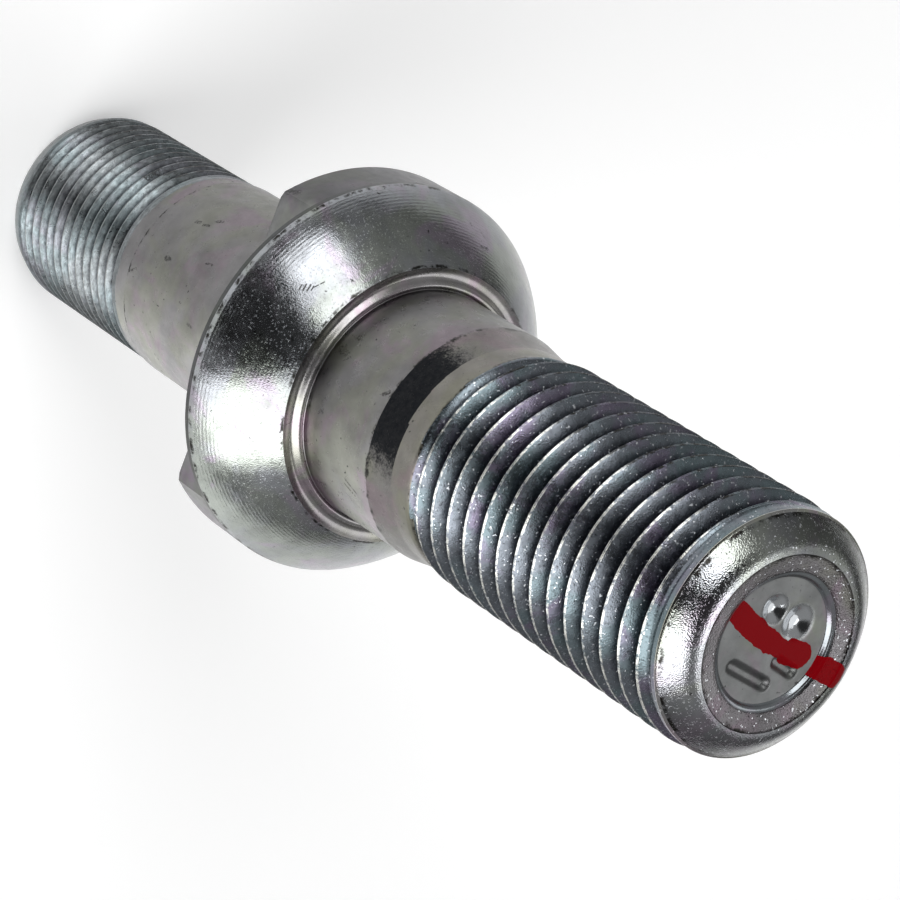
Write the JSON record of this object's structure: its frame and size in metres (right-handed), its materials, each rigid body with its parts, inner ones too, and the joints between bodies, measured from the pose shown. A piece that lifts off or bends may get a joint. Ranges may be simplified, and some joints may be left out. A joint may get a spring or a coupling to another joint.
{
  "type": "wheel stud",
  "caption": "Double-ended wheel stud with a ball seat collar that has one flat, a left-hand nut thread and a right-hand hub thread.",
  "frame": {"origin": "centre of the flat end face of the hub end, on the stud's axis", "axes": "+Z along the stud's axis from the hub end to the nut end; -Y out of the flat on the collar"},
  "size_m": [0.0375, 0.0375, 0.1113],
  "materials": {
    "plated_steel": "zinc-plated steel with a faint passivation tint, satin to sparkly, worn on the crests, with a stroke of dark red inspection paint near the nut end"
  },
  "bodies": {
    "root": {"stud": "plated_steel"}
  },
  "joints": []
}
